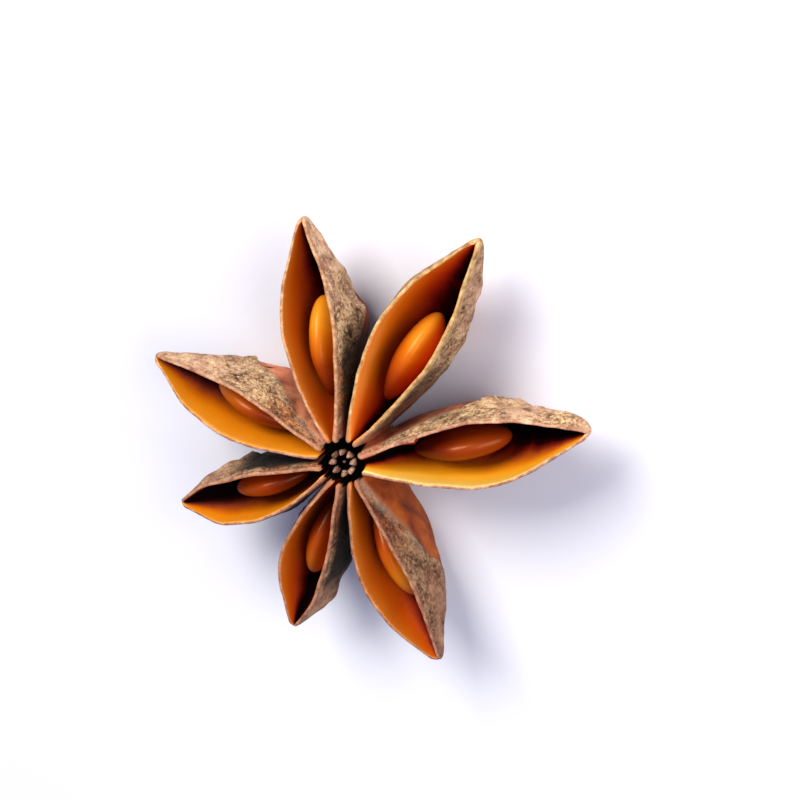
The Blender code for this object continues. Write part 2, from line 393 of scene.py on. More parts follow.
@dataclass(frozen=True)
class PodWall:
    """A pod's wall: a boat-shaped shell whose section is a C with rounded lips.

    The outlines mouth, deep and hollow give the mouth's half width, the depth and the hollow's
    depth along the pod, as shares of the pod's own. The rim runs round the mouth, and its knob
    is the rounded end over the well, from which the wall falls by end_fall inside the column.
    The press is the flat where the next pod grew against this one, up to the angle press_edge
    on both sides. The lips' wavers and the rind's folds, dents and grains have a height, and a
    pitch in mm. Each of the swells, the rind's coarse waves, has its share of swell_height and
    its number of waves along and across the pod. The counts of points are those of one
    section, and the counts of stations those along the pod.
    """

    pod: Pod
    mouth: Outline = Outline(((0, 0), (0.17, 0.47), (0.33, 0.82), (0.52, 1), (0.70, 0.84),
                              (0.85, 0.47), (0.95, 0.22), (1, 0.13)))
    deep: Outline = Outline(((0, 0.74), (0.2, 0.93), (0.4, 1), (0.6, 0.84), (0.8, 0.45),
                             (0.92, 0.26), (1, 0.14)))
    hollow: Outline = Outline(((-0.03, 0.12), (0, 0.15), (0.1, 0.53), (0.25, 0.77), (0.4, 0.82),
                               (0.6, 0.72), (0.8, 0.38), (0.93, 0.15), (0.975, 0.05), (1, 0.01)))
    lip_arch: float = 0.0006
    rim_width: float = 0.00029
    rim_taper: float = 0.35
    rim_taper_start: float = 0.65
    rim_crown: float = 0.7
    knob_swell: float = 0.00018
    knob_reach: float = 0.06
    slit: float = 0.00012
    slit_end: float = 0.00001
    hollow_end: tuple[float, float] = (0.93, 0.98)
    throat_end: float = 0.4
    start_end: float = 0.3
    blunt_place: float = 0.8
    blunt_reach: float = 0.13
    hump_edge: float = 0.25
    belly_bulge: float = 0.00085
    root_bulge: float = 0.0006
    root_bulge_end: float = 0.25
    lining_bulge: float = 0.00042
    flank_power: float = 0.8
    length_power: float = 0.85
    press_edge: Outline = Outline(((0, 88), (0.2, 80), (0.4, 71), (0.5, 62), (0.58, 48),
                                   (0.70, 12)))
    press_heart: Outline = Outline(((0.03, 88), (0.70, 12)))
    press_end: float = 0.70
    press_blend: float = 4
    press_soft: float = 9
    press_share: float = 0.55
    press_ridge: float = 0.00008
    knob_length: float = 0.022
    knob_fall: float = 0.00030
    knob_wall: float = 0.35
    end_fall: float = 0.0029
    beak_round: float = 0.035
    bury: tuple[float, float] = (-0.04, 0.0043)
    waver_up: tuple[tuple[float, float], ...] = ((0.00010, 2.6), (0.00003, 0.7))
    waver_out: tuple[tuple[float, float], ...] = ((0.00013, 3.4), (0.00004, 0.9))
    waver_fade: int = 8
    calm_root: tuple[float, float] = (0.02, 0.1)
    calm_beak: float = 0.08
    warp_pitch: float = 2.4
    fold_height: float = 0.00010
    fold_pitch: float = 1.5
    dent_height: float = 0.00007
    dent_pitch: float = 0.9
    grain_height: float = 0.000035
    grain_pitch: float = 0.42
    swell_height: float = 0.00014
    swells: tuple[tuple[float, float, float], ...] = ((1, 4.3, 1.3), (1, 2.9, -2.2),
                                                      (0.7, 6.1, 2.4))
    relief_edge: float = 0.12
    relief_ends: tuple[float, float] = (0.04, 0.12)
    relief_least: float = 0.3
    flat_dents: float = 0.00003
    flat_grain: float = 0.000012
    lip_crowding: float = 0.4
    splinter_angle: float = 80
    shade_turn: float = 30
    dirt_and_shade_fade: float = 0.2
    closed_lip: float = 0.2
    knob_turn: float = 75
    beak_turns: tuple[float, float] = (10, 80)
    outer_points: int = 74
    inner_points: int = 26
    rim_points: int = 5
    end_stations: int = 7
    knob_stations: int = 6
    body_stations: int = 92
    beak_stations: int = 6

    def lip_line(self, u: np.ndarray) -> np.ndarray:
        """The line midway between the lips.

        Args:
            u: shares of the pod's length.

        Returns:
            A point for each u, in one row.
        """
        pod, bearings = self.pod, np.radians([self.pod.root, self.pod.tip])
        east = np.cos(bearings) * (MIDDLE.well_radius, pod.reach)
        north = np.sin(bearings) * (MIDDLE.well_radius, pod.reach)
        x = MIDDLE.x + east[0] + (east[1] - east[0]) * u
        y = MIDDLE.y + north[0] + (north[1] - north[0]) * u
        z = MIDDLE.lip_height - pod.drop * u * np.abs(u) + self.lip_arch * 4 * u * (1 - u)
        return np.stack([x, y, z], axis=-1)

    def leftwards(self) -> np.ndarray:
        """The level way to the pod's left."""
        start, end = self.lip_line(np.array([0.0, 1.0]))
        way = np.array([start[1] - end[1], end[0] - start[0], 0])
        return way / np.linalg.norm(way)

    def length(self) -> float:
        """How far the beak is from the well."""
        start, end = self.lip_line(np.array([0.0, 1.0]))
        return float(np.linalg.norm(end - start))

    def mouth_half(self, u: np.ndarray, side: np.ndarray) -> np.ndarray:
        """How far a lip's outer edge is from the middle line.

        Args:
            u: shares of the pod's length.
            side: 1 for the left lip and -1 for the right.

        Returns:
            The half width at each u and side.
        """
        throat = self.pod.throat * np.maximum(0, 1 - u / self.throat_end) ** 2
        own = np.where(side > 0, self.pod.left, self.pod.right)
        near_beak = bell((u - self.blunt_place) / self.blunt_reach)
        blunt = np.where(side > 0, *self.pod.blunt) * near_beak
        return throat + blunt + own * self.mouth.at(np.maximum(u, 0))

    def rim(self, u: np.ndarray) -> np.ndarray:
        """The rim's width, which thins towards the beak and swells at the well."""
        taper = smooth_step((u - self.rim_taper_start) / (1 - self.rim_taper_start))
        knob = self.knob_swell * bell(u / self.knob_reach)
        return self.rim_width * (1 - self.rim_taper * taper) + knob

    def pressed(self, u: np.ndarray, angle: np.ndarray) -> np.ndarray:
        """1 on the flat where the next pod pressed, 0 on the free rind."""
        shown = np.where(u < self.press_end, self.press_edge.at(u), 0)
        return smooth_step((shown - np.abs(angle)) / self.press_blend)

    def flattened(self, u: np.ndarray, angle: np.ndarray) -> np.ndarray:
        """How far the belly is pushed in by the next pod, of 0 to 1."""
        heart = smooth_step((self.press_heart.at(u) - np.abs(angle)) / self.press_soft)
        return (heart + self.pressed(u, angle)) / 2

    def swelling(self, u: np.ndarray, angle: np.ndarray) -> np.ndarray:
        """How far the pod's own humps and hollows lift its flanks, as (station, point)."""
        lift = np.zeros((len(u), len(angle)))
        for hump in self.pod.humps:
            along = bell((u[:, None] - hump.u) / hump.along)
            lift += hump.lift * along * bell((angle[None, :] - hump.angle) / hump.around)
        return lift * smooth_step((1 - np.abs(angle[None, :]) / 90) / self.hump_edge)

    def lip_waver(self, u: np.ndarray, side: Side) -> tuple[np.ndarray, np.ndarray]:
        """How one lip strays from its smooth line.

        Args:
            u: shares of the pod's length.
            side: the lip.

        Returns:
            How far it stands up, and how far out, at each u.
        """
        line = np.stack([u * self.length() / MM, np.full_like(u, side.value * 3.0),
                         np.full_like(u, self.pod.number * 5.0)], axis=-1)
        start, rise = self.calm_root
        calm = smooth_step((u - start) / rise) * smooth_step((1 - u) / self.calm_beak)
        up, out = (
            sum(high * waves(line, pitch, first + i) for i, (high, pitch) in enumerate(kind))
            for first, kind in ((1, self.waver_up), (3, self.waver_out))
        )
        return up * calm, out * calm

    def relief(self, u: np.ndarray, angle: np.ndarray, places: np.ndarray) -> np.ndarray:
        """How far the rind stands out or in: folds, wrinkles and grains.

        Args:
            u: shares of the pod's length, one a station.
            angle: angles round the section, one a point.
            places: the smooth rind's points, as (station, point, xyz).

        Returns:
            The relief at each station and point.
        """
        across = angle[None, :] / 90
        along = u[:, None]
        start = math.radians(self.pod.tip) * 3
        coarse = sum(
            share * np.sin(math.tau * (length * along + width * across) + number * start)
            for number, (share, length, width) in enumerate(self.swells, 1)
        )
        fade = (
            smooth_step((1 - np.abs(across)) / 0.65)
            * smooth_step((1 - along) / 0.3)
            * smooth_step(along / 0.1)
        )
        flat = self.pressed(along, angle[None, :])
        points = places.reshape(-1, 3) / MM
        shape = places.shape[:2]
        number = self.pod.number
        warp = waves(points, self.warp_pitch, 11 + number)[:, None] * (0.9, -0.6, 0.5)
        folds = waves(points + warp, self.fold_pitch, 21 + number).reshape(shape)
        folds = 1 - np.abs(folds) * 2
        dents = waves(points, self.dent_pitch, 31 + number).reshape(shape)
        grains = waves(points, self.grain_pitch, 41).reshape(shape)
        near_lip = smooth_step((1 - np.abs(across)) / self.relief_edge)
        most = 1 - self.relief_least
        low = self.relief_least + most * smooth_step((1 - np.abs(across)) / 0.6)
        root_end, beak_end = self.relief_ends
        ends = smooth_step((1 - along) / beak_end) * smooth_step(along / root_end)
        free = (1 - flat) * ends
        ridge = bell((np.abs(angle[None, :]) - self.press_edge.at(along)) / self.press_blend)
        ridge = ridge * smooth_step(along / 0.08) * smooth_step((self.press_end - along) / 0.1)
        lift = self.swell_height * coarse * fade * (1 - flat)
        lift += free * near_lip * low * (self.fold_height * folds + self.dent_height * dents)
        lift += free * (self.relief_least + most * near_lip) * self.grain_height * grains
        lift += flat * ends * (self.flat_dents * dents + self.flat_grain * grains)
        lift += self.press_ridge * ridge * near_lip
        return lift - self.pitted(u, angle) * max([0, *(pit.depth for pit in self.pod.pits)])

    def pitted(self, u: np.ndarray, angle: np.ndarray) -> np.ndarray:
        """How far a point of the rind is in a pit, of 0 to 1, as (station, point)."""
        made = np.zeros((len(u), len(angle)))
        for pit in self.pod.pits:
            along = (u[:, None] - pit.u) * self.length()
            around = np.radians(angle[None, :] - pit.angle) * self.pod.depth * 0.6
            deepest = max(each.depth for each in self.pod.pits)
            hole = bell(np.hypot(along, around) / pit.radius) * pit.depth / deepest
            made = np.maximum(made, hole)
        return made

    def stations(self) -> tuple[np.ndarray, np.ndarray, np.ndarray, np.ndarray]:
        """The sections, from the pole inside the column to the pole at the beak.

        Returns:
            For each section its share of the length, how far its lips have sunk, the share of
            the wall's thickness that is left, and the share of its size that is left.
        """
        share = np.linspace(1, 0, self.end_stations) ** 2
        fall = self.knob_fall + (self.end_fall - self.knob_fall) * share
        turn = np.radians(np.linspace(self.knob_turn, 0, self.knob_stations))
        bend = np.radians(np.linspace(*self.beak_turns, self.beak_stations))
        knob = self.knob_length * (1 - np.sin(turn))
        beak = 1 - self.beak_round * (1 - np.sin(bend))
        body = np.linspace(self.knob_length, 1 - self.beak_round, self.body_stations + 1)[1:]
        u = np.concatenate([np.zeros_like(fall), knob, body, beak])
        u = u + self.pod.start * smooth_step(1 - u / self.start_end)
        sink = np.concatenate([fall, self.knob_fall * (1 - np.cos(turn)), 0 * body, 0 * beak])
        wall = np.concatenate([
            np.full_like(fall, self.knob_wall),
            self.knob_wall + (1 - self.knob_wall) * np.cos(turn),
            np.ones_like(body), np.ones_like(beak),
        ])
        size = np.concatenate([np.ones(len(fall) + len(knob) + len(body)), np.cos(bend)])
        return u, sink, wall, size

    def section_angles(self, count: int) -> np.ndarray:
        """Angles from lip to lip, closer together near the lips."""
        share = np.linspace(-1, 1, count)
        crowded = self.lip_crowding * np.sin(math.pi / 2 * share)
        return 90 * ((1 - self.lip_crowding) * share + crowded)

    def sheet(self, u: np.ndarray, angle: np.ndarray, halves: np.ndarray, deep: np.ndarray,
              bulge: np.ndarray, lift: np.ndarray, sink: np.ndarray) -> np.ndarray:
        """One face of the wall, as a U-shaped section at each station.

        Args:
            u: shares of the pod's length, one a station.
            angle: angles round the section, one a point.
            halves: the half widths, as (station, point).
            deep: the depth at each station.
            bulge: how far the flanks swell, as (station, point).
            lift: how far the face stands out, as (station, point).
            sink: how far the lips have sunk at each station.

        Returns:
            The points, as (station, point, xyz).
        """
        a = np.radians(np.abs(angle))[None, :]
        side = np.where(angle > 0, 1.0, -1.0)[None, :]
        near = np.sin(a) ** self.waver_fade
        wavers = zip(self.lip_waver(u, Side.LEFT), self.lip_waver(u, Side.RIGHT))
        up, out = (np.where(side > 0, left[:, None], right[:, None]) * near
                   for left, right in wavers)
        out = out + halves * np.sin(a) ** self.flank_power + bulge * np.sin(2 * a)
        out = out + lift * np.sin(a)
        down = (np.maximum(deep - sink, self.slit_end)[:, None] + lift) * np.cos(a)
        middle = self.lip_line(u)[:, None, :]
        drop = (sink[:, None] + down - up)[..., None] * np.array([0, 0, 1.0])
        return middle + (side * out)[..., None] * self.leftwards() - drop

    def rings(self) -> tuple[np.ndarray, dict[str, np.ndarray]]:
        """The wall's sections, each a closed loop round the C.

        Returns:
            The points as (station, point, xyz), and what the finish needs at each of them.
        """
        u, sink, wall, size = self.stations()
        outer = self.section_angles(self.outer_points)
        inner = self.section_angles(self.inner_points)[::-1]
        bead = self.rim(u) * wall / 2 * self.rim_crown
        pinch = (self.rim(u) * (1 - wall) / 2)[:, None]
        deep = self.pod.depth * self.deep.at(u)
        halves = self.mouth_half(u[:, None], np.sign(outer)[None, :]) - pinch
        round_end = np.sin(math.pi * np.maximum(u, 0) ** self.length_power)[:, None]
        belly = self.belly_bulge * round_end
        root = self.root_bulge * np.maximum(0, 1 - u / self.root_bulge_end)[:, None]
        bulge = root + belly * (1 - self.press_share * self.flattened(u[:, None], outer[None, :]))
        top = sink + bead
        still = np.zeros_like(halves)
        swollen = self.swelling(u, outer)
        smooth = self.sheet(u, outer, halves, deep, bulge, still + swollen, top)
        relief = self.relief(u, outer, smooth) + swollen
        rind = self.sheet(u, outer, halves, deep, bulge, relief, top)
        rind[..., 2] = np.maximum(rind[..., 2], 0)
        rims = self.rim(u)[:, None] + self.slivers(u, inner)
        widths = self.mouth_half(u[:, None], np.sign(inner)[None, :]) - rims + pinch
        start, end = self.hollow_end
        closing = np.clip((u - start) / (end - start), 0, 1)
        widths = widths * np.sqrt(1 - closing**2)[:, None]
        narrow = self.slit + (self.slit_end - self.slit) * smooth_step(closing * 2)
        widths = np.maximum(widths, narrow[:, None] + pinch)
        hollow = self.pod.depth * self.hollow.at(u)
        swell = self.lining_bulge * round_end * np.ones_like(widths)
        dented = np.minimum(0, self.swelling(u, inner)) * smooth_step(hollow / deep)[:, None]
        lining = self.sheet(u, inner, widths, hollow, swell, dented, top)
        over_left = self.over_lip(rind[:, -1], lining[:, 0], bead)
        over_right = self.over_lip(lining[:, -1], rind[:, 0], bead)
        loop = np.concatenate([rind, over_left, lining, over_right], axis=1)
        centre = self.lip_line(u) - np.stack([0 * u, 0 * u, deep / 2], axis=-1)
        loop = centre[:, None] + (loop - centre[:, None]) * size[:, None, None]
        return loop, self.notes(u, sink, outer, inner, loop)

    def slivers(self, u: np.ndarray, inner: np.ndarray) -> np.ndarray:
        """How far splinters reach inwards from the lips.

        Args:
            u: shares of the pod's length, one a station.
            inner: angles round the lining, one a point.

        Returns:
            The reach at each station and point.
        """
        reach = np.zeros((len(u), len(inner)))
        for splinter in self.pod.splinters:
            share = (u - splinter.start) / (splinter.end - splinter.start)
            along = np.where(share < 1, np.clip(share, 0, 1) ** 2, 0) * splinter.reach
            near = np.sign(inner) == splinter.side.value
            near = near * (np.abs(inner) > self.splinter_angle)
            reach = np.maximum(reach, along[:, None] * near[None, :])
        return reach

    def over_lip(self, start: np.ndarray, end: np.ndarray, bead: np.ndarray) -> np.ndarray:
        """The rounded top of a lip.

        Args:
            start: the edge that the loop comes from, one point a station.
            end: the edge that it goes to.
            bead: how high the rounding stands at each station.

        Returns:
            The points between them, as (station, point, xyz).
        """
        turn = np.linspace(0, math.pi, self.rim_points + 2)[1:-1]
        middle, half = (start + end) / 2, (start - end) / 2
        level = middle[:, None] + half[:, None] * np.cos(turn)[None, :, None]
        return level + (bead[:, None] * np.sin(turn))[..., None] * np.array([0, 0, 1.0])

    def notes(self, u: np.ndarray, sink: np.ndarray, outer: np.ndarray, inner: np.ndarray,
              loop: np.ndarray) -> dict[str, np.ndarray]:
        """What the finish needs to know at each point.

        Args:
            u: shares of the pod's length, one a station.
            sink: how far the lips have sunk at each station.
            outer: angles round the outside of the section.
            inner: angles round the lining.
            loop: the wall's points.

        Returns:
            lip, the distance in mm from the top of the nearest lip, below 0 on the lining;
            press and edge, the flat and its ridge; pit, the pits; keel, the share of the way
            down the lining, raised on a left wall painted in shade, for the lining's painted
            shade;
            out, the share of the pod's length; middle, a half where a lip ends down in the well,
            for the well's painted shade; which strip the lining has; and the pod's own shares of
            dusk, rust, dirt and painted shade, and wear.
        """
        steps = np.linalg.norm(np.roll(loop, -1, axis=1) - loop, axis=2) / MM
        run = np.concatenate([np.zeros((len(u), 1)), np.cumsum(steps, axis=1)], axis=1)
        total, run = run[:, -1:], run[:, :-1]
        half = self.rim_points // 2
        left = run[:, self.outer_points + half][:, None]
        right = run[:, -(half + 1)][:, None]
        gap_left = np.abs(run - left)
        gap_right = np.minimum(np.abs(run - right), total - right + run)
        lip = np.minimum(gap_left, gap_right)
        inside = (run > left) & (run < right) & (u[:, None] < self.hollow_end[1])
        blank = np.zeros_like(run)
        press, edge, pit, keel = (blank.copy() for _ in range(4))
        press[:, : self.outer_points] = self.pressed(u[:, None], outer[None, :])
        away = np.abs(outer)[None, :] - self.press_edge.at(u[:, None])
        near = bell(away / self.press_blend)
        edge[:, : self.outer_points] = near * (u[:, None] < self.press_end)
        pit[:, : self.outer_points] = self.pitted(u, outer)
        first = self.outer_points + self.rim_points
        # keel darkens the lining to near black in the finish, as painted shade down the hollow;
        # bottom turns its darkest part aside.
        turned = np.clip(inner - self.pod.bottom, -90, 90)
        # Painted shade on the lining's left wall and the left rim's inner half, by the pod's share
        # of it.
        left_painted_shade = self.pod.left_painted_shade * smooth_step(inner / self.shade_turn)
        keel[:, self.outer_points : first] = self.pod.left_painted_shade
        keel[:, first : first + self.inner_points] = np.maximum(
            np.cos(np.radians(turned)), left_painted_shade)
        closed = np.minimum(lip, self.closed_lip)
        lip = np.where(u[:, None] < self.hollow_end[1], lip, closed)
        sunk = smooth_step((sink / self.knob_fall - 0.75) / 0.4)
        # Dirt and painted shade on the low flanks towards the root, fading out at the pod's end
        # share.
        dirt_and_shade = self.pod.dirt_and_shade * smooth_step((self.pod.dirt_and_shade_end - u) / self.dirt_and_shade_fade)
        return {
            "lip": np.where(inside, -lip, lip),
            "press": press,
            "edge": edge,
            "pit": pit,
            "keel": keel,
            "out": u[:, None] + blank,
            "middle": blank + sunk[:, None] / 2,
            "dusk": self.pod.dusk + blank,
            "rust": self.pod.rust + blank,
            "dirt_and_shade": dirt_and_shade[:, None] + blank,
            "worn": self.pod.worn + blank,
            **{kind.value: float(self.pod.lining is kind) + blank for kind in OVER_GOLD},
        }

    def build(self) -> tuple[Piece, dict[str, np.ndarray]]:
        """Models the wall.

        Returns:
            The closed shell, and the places and the notes of its points.
        """
        loop, notes = self.rings()
        u, height = self.bury
        start = self.lip_line(np.array([u]))[0]
        start[2] = height
        tip = self.lip_line(np.array([1.0]))[0]
        tip[2] -= self.pod.depth * float(self.deep.at(np.array([1.0]))[0]) / 2
        shell = Workbench.shaped_ball(f"pod_wall_{self.pod.number}", loop, start, tip)
        return shell, {"places": loop.reshape(-1, 3), **{k: v.ravel() for k, v in notes.items()}}


@dataclass
class Husk:
    """The whole husk: the pods' walls and the column with its crown, grown together.

    A point of the column is on the crown where it is clear of the well's floor, on a bead's top
    where it is level with it, and on the stalk's scar up to foot above the column's bottom.
    """

    walls: tuple[PodWall, ...]
    column_sides: int = 112
    crown_steps: int = 5
    crown_rings: int = 6
    mend_rounds: int = 3
    smooth_angle: float = 50
    clear: float = 0.0001
    level: float = 0.00001
    foot: float = 0.001
    note_names: tuple[str, ...] = ("lip", "press", "edge", "pit", "keel", "out", "middle",
                                   "yellow", "russet", "amber", "dusk", "rust", "dirt_and_shade", "worn")
    piece: Piece | None = field(default=None, init=False)

    def build_column(self) -> Piece:
        """Turns the column, with the well's floor, the crown, its hole and the stalk's scar.

        Returns:
            The closed column.
        """
        m = MIDDLE
        Workbench.clear_selection()
        height = m.shoulder - m.column_bottom
        bpy.ops.mesh.primitive_cylinder_add(
            vertices=self.column_sides, radius=m.column_radius, depth=height,
            location=(0, 0, m.column_bottom + height / 2),
        )
        column = bpy.context.object
        column.name = "husk_fine"
        bpy.ops.object.transform_apply(location=True, rotation=True, scale=True)
        Workbench.pick(column, "FACE", self.ends(column, 1))
        bpy.ops.mesh.inset(thickness=m.column_radius - m.well_floor_radius,
                           depth=m.well_floor - m.shoulder)
        bpy.ops.mesh.inset(thickness=m.well_floor_radius - m.crown_radius)
        self.draw_out(m.crown_top - m.well_floor, self.crown_steps)
        for _ in range(self.crown_rings):
            bpy.ops.mesh.inset(thickness=(m.crown_radius - m.hole_radius) / self.crown_rings)
        self.draw_out(-m.hole_depth, self.crown_steps)
        bpy.ops.mesh.inset(thickness=m.hole_radius - m.pip_radius)
        self.draw_out(m.pip_height)
        bpy.ops.mesh.inset(thickness=m.pip_radius / 2, depth=m.pip_radius / 2)
        bpy.ops.object.mode_set(mode="OBJECT")
        Workbench.pick(column, "FACE", self.ends(column, -1))
        bpy.ops.mesh.inset(thickness=m.column_chamfer, depth=-m.scar_depth)
        bpy.ops.mesh.inset(thickness=m.column_radius - m.column_chamfer - m.scar_radius)
        bpy.ops.mesh.inset(thickness=m.scar_radius / 5, depth=-m.scar_depth)
        bpy.ops.object.mode_set(mode="OBJECT")
        self.shape_crown(column)
        return column

    @staticmethod
    def draw_out(rise: float, steps: int = 1) -> None:
        """Draws the selected faces out upwards, or down where the rise is below 0."""
        for _ in range(steps):
            bpy.ops.mesh.extrude_region_move(
                TRANSFORM_OT_translate={"value": (0, 0, rise / steps)})

    @staticmethod
    def ends(column: Piece, way: int) -> np.ndarray:
        """Which faces look up, where way is 1, or down, where it is -1."""
        return np.array([face.normal.z * way > 0.9 for face in column.data.polygons])

    def shape_crown(self, column: Piece) -> None:
        """Parts the crown into uneven beads and stands the column on its place."""
        m = MIDDLE
        places = Workbench.places(column)
        x, y, z = places.T
        turn = np.arctan2(y, x)
        radius = np.hypot(x, y)
        ring = np.stack([np.cos(turn), np.sin(turn), 0 * turn], axis=-1)
        uneven = waves(ring * 1.2, 0.9, 51)
        rough = waves(places / MM, 0.30, 52)
        phase = m.crown_lobes * turn + m.crown_stray * uneven
        bead = np.abs(np.cos(phase / 2)) ** m.crown_sharp
        crown = (z > m.well_floor + self.clear) & (radius < m.crown_radius * 1.02)
        wall = crown & (radius > m.hole_radius * 0.97)
        share = (radius - m.hole_radius) / (m.crown_radius - m.hole_radius)
        dome = np.sqrt(np.clip(1 - (2 * share - 1) ** 2, 0, 1))
        height = np.clip((z - m.well_floor) / (m.crown_top - m.well_floor), 0, 1)
        top = wall & (z > m.crown_top - self.level)
        z = z - wall * height * (m.crown_gap * (1 - bead) + m.crown_sag * uneven)
        z = z + top * (m.crown_grain * rough - m.crown_round * (1 - dome))
        outer = crown & (radius > (m.hole_radius + m.crown_radius) / 2)
        waist = m.crown_waist * (1 - bead) * height
        flare = m.crown_rough * rough + m.crown_flare * height - waist
        swell = 1 + outer * flare + (wall & ~outer) * waist
        shift = smooth_step((z - m.shoulder) / (m.well_floor - m.shoulder))
        x = m.x + x * swell + m.crown_shift[0] * shift
        y = m.y + y * swell + m.crown_shift[1] * shift
        column.data.vertices.foreach_set("co", np.stack([x, y, z], axis=-1).ravel())
        column.data.update()

    def build(self) -> Piece:
        """Models the walls and the column and joins them into one body.

        Returns:
            The husk, with what its finish needs kept on its points.
        """
        column = self.build_column()
        grown = bpy.data.collections.new("pod walls")
        bpy.context.scene.collection.children.link(grown)
        sources = [self.column_notes(column)]
        for wall in self.walls:
            shell, notes = wall.build()
            for home in shell.users_collection:
                home.objects.unlink(shell)
            grown.objects.link(shell)
            sources.append(notes)
        Workbench.clear_selection()
        column.select_set(True)
        bpy.context.view_layer.objects.active = column
        union = column.modifiers.new("Grown together", "BOOLEAN")
        union.operation = "UNION"
        union.operand_type = "COLLECTION"
        union.collection = grown
        union.solver = "MANIFOLD"
        bpy.ops.object.modifier_apply(modifier=union.name)
        for shell in list(grown.objects):
            bpy.data.objects.remove(shell, do_unlink=True)
        bpy.data.collections.remove(grown)
        self.mend(column)
        self.carry_notes(column, sources)
        bpy.ops.object.shade_smooth_by_angle(angle=math.radians(self.smooth_angle))
        self.piece = column
        return column

    def mend(self, husk: Piece) -> None:
        """Dissolves the points that the union left on an edge between two faces only."""
        for _ in range(self.mend_rounds):
            ends = np.empty(2 * len(husk.data.edges), dtype=np.int32)
            husk.data.edges.foreach_get("vertices", ends)
            idle = np.bincount(ends, minlength=len(husk.data.vertices)) < 3
            Workbench.pick(husk, "VERT", idle)
            bpy.ops.mesh.dissolve_verts()
            bpy.ops.object.mode_set(mode="OBJECT")

    def column_notes(self, column: Piece) -> dict[str, np.ndarray]:
        """The column's own notes: middle rises to 1 up the crown, and is a half in the well."""
        m = MIDDLE
        places = Workbench.places(column)
        away = places[:, :2] - (m.x + m.crown_shift[0], m.y + m.crown_shift[1])
        radius = np.hypot(*away.T)
        height = smooth_step((places[:, 2] - m.well_floor) / (m.crown_top - m.well_floor) - 0.1)
        crown = (radius > m.hole_radius * 0.9) | (radius < m.pip_radius * 1.5)
        crown = crown & (places[:, 2] > m.well_floor + self.clear)
        low = places[:, 2] < m.column_bottom + self.foot
        blank = np.zeros(len(places))
        notes = dict.fromkeys(self.note_names, blank)
        middle = np.where(crown, 0.5 + height / 2, np.where(low, 0.0, 0.5))
        return notes | {"places": places, "lip": blank + 3, "middle": middle}

    def carry_notes(self, husk: Piece, sources: list[dict[str, np.ndarray]]) -> None:
        """Gives each point of the joined husk the notes of the nearest point it came from."""
        places = np.concatenate([source["places"] for source in sources])
        tree = kdtree.KDTree(len(places))
        for index, place in enumerate(places):
            tree.insert(place, index)
        tree.balance()
        nearest = [tree.find(vertex.co)[1] for vertex in husk.data.vertices]
        for name in self.note_names:
            values = np.concatenate([source[name] for source in sources])
            Workbench.paint(husk, name, values[nearest])

    def dress(self, material: bpy.types.Material) -> None:
        """Puts the finish on, and the husk in the place of the solid one."""
        Workbench.dress(self.piece, material, "husk", "husk")


@dataclass
class Seed:
    """A seed: a polished flattened drop with a thin inner end, lying in its pod's hollow.

    Sink is how deep its middle lies, as a share of the pod's depth. Tall and thick are its half
    height and half width as shares of its half length, slender is how much its inner end loses
    of them, and ridge is how far its upper and lower edges stand out.
    """

    wall: PodWall
    sink: float = 0.45
    tall: float = 0.58
    thick: float = 0.33
    slender: float = 0.28
    ridge: float = 0.12
    segments: int = 72
    stations: int = 48
    piece: Piece | None = field(default=None, init=False)

    def build(self) -> Piece:
        """Models the seed.

        Returns:
            The closed seed.
        """
        pod = self.wall.pod
        line = self.wall.lip_line(np.array([pod.seed_place, pod.seed_place + 0.1]))
        ahead = (line[1] - line[0]) / np.linalg.norm(line[1] - line[0])
        left = self.wall.leftwards()
        up = np.cross(ahead, left)
        half = pod.seed_length / 2
        centre = line[0] + left * pod.seed_shift - up * self.sink * pod.depth
        drop = np.linspace(math.pi, 0, self.stations + 2)[1:-1, None]
        turn = np.linspace(0, math.tau, self.segments, endpoint=False)[None, :]
        out = np.cos(drop) + 0 * turn
        across, over = np.sin(drop) * np.cos(turn), np.sin(drop) * np.sin(turn)
        narrow = 1 - self.slender * np.maximum(0, -out) ** 1.5
        tall = self.tall * narrow * (1 + self.ridge * over**4)
        points = (out[..., None] * ahead + (across * self.thick * narrow)[..., None] * left
                  + (over * tall)[..., None] * up)
        rings = centre + half * points
        name = f"seed_fine_{pod.number}"
        piece = Workbench.shaped_ball(name, rings, centre - half * ahead, centre + half * ahead)
        bpy.ops.object.shade_smooth()
        local = (Workbench.places(piece) - centre) / half
        Workbench.paint(piece, "out", local @ ahead)
        Workbench.paint(piece, "over", local @ up / self.tall)
        # How far the seed's colour is painted as lit rather than in shade.
        Workbench.paint(piece, "painted_seed_light", np.full(len(local), pod.painted_seed_light))
        Workbench.paint(piece, "pale_outer_end", np.full(len(local), float(pod.pale_outer_end)))
        self.piece = piece
        return piece

    def dress(self, material: bpy.types.Material) -> None:
        """Puts the finish on, and the seed in the place of the solid one."""
        Workbench.dress(self.piece, material, "seed", f"seed_{self.wall.pod.number}")


def tone(code: str) -> tuple[float, float, float, float]:
    """A colour for a shader, from its usual six-digit screen code."""
    parts = [int(code[i : i + 2], 16) / 255 for i in (1, 3, 5)]
    linear = [c / 12.92 if c <= 0.04045 else ((c + 0.055) / 1.055) ** 2.4 for c in parts]
    return (*linear, 1.0)


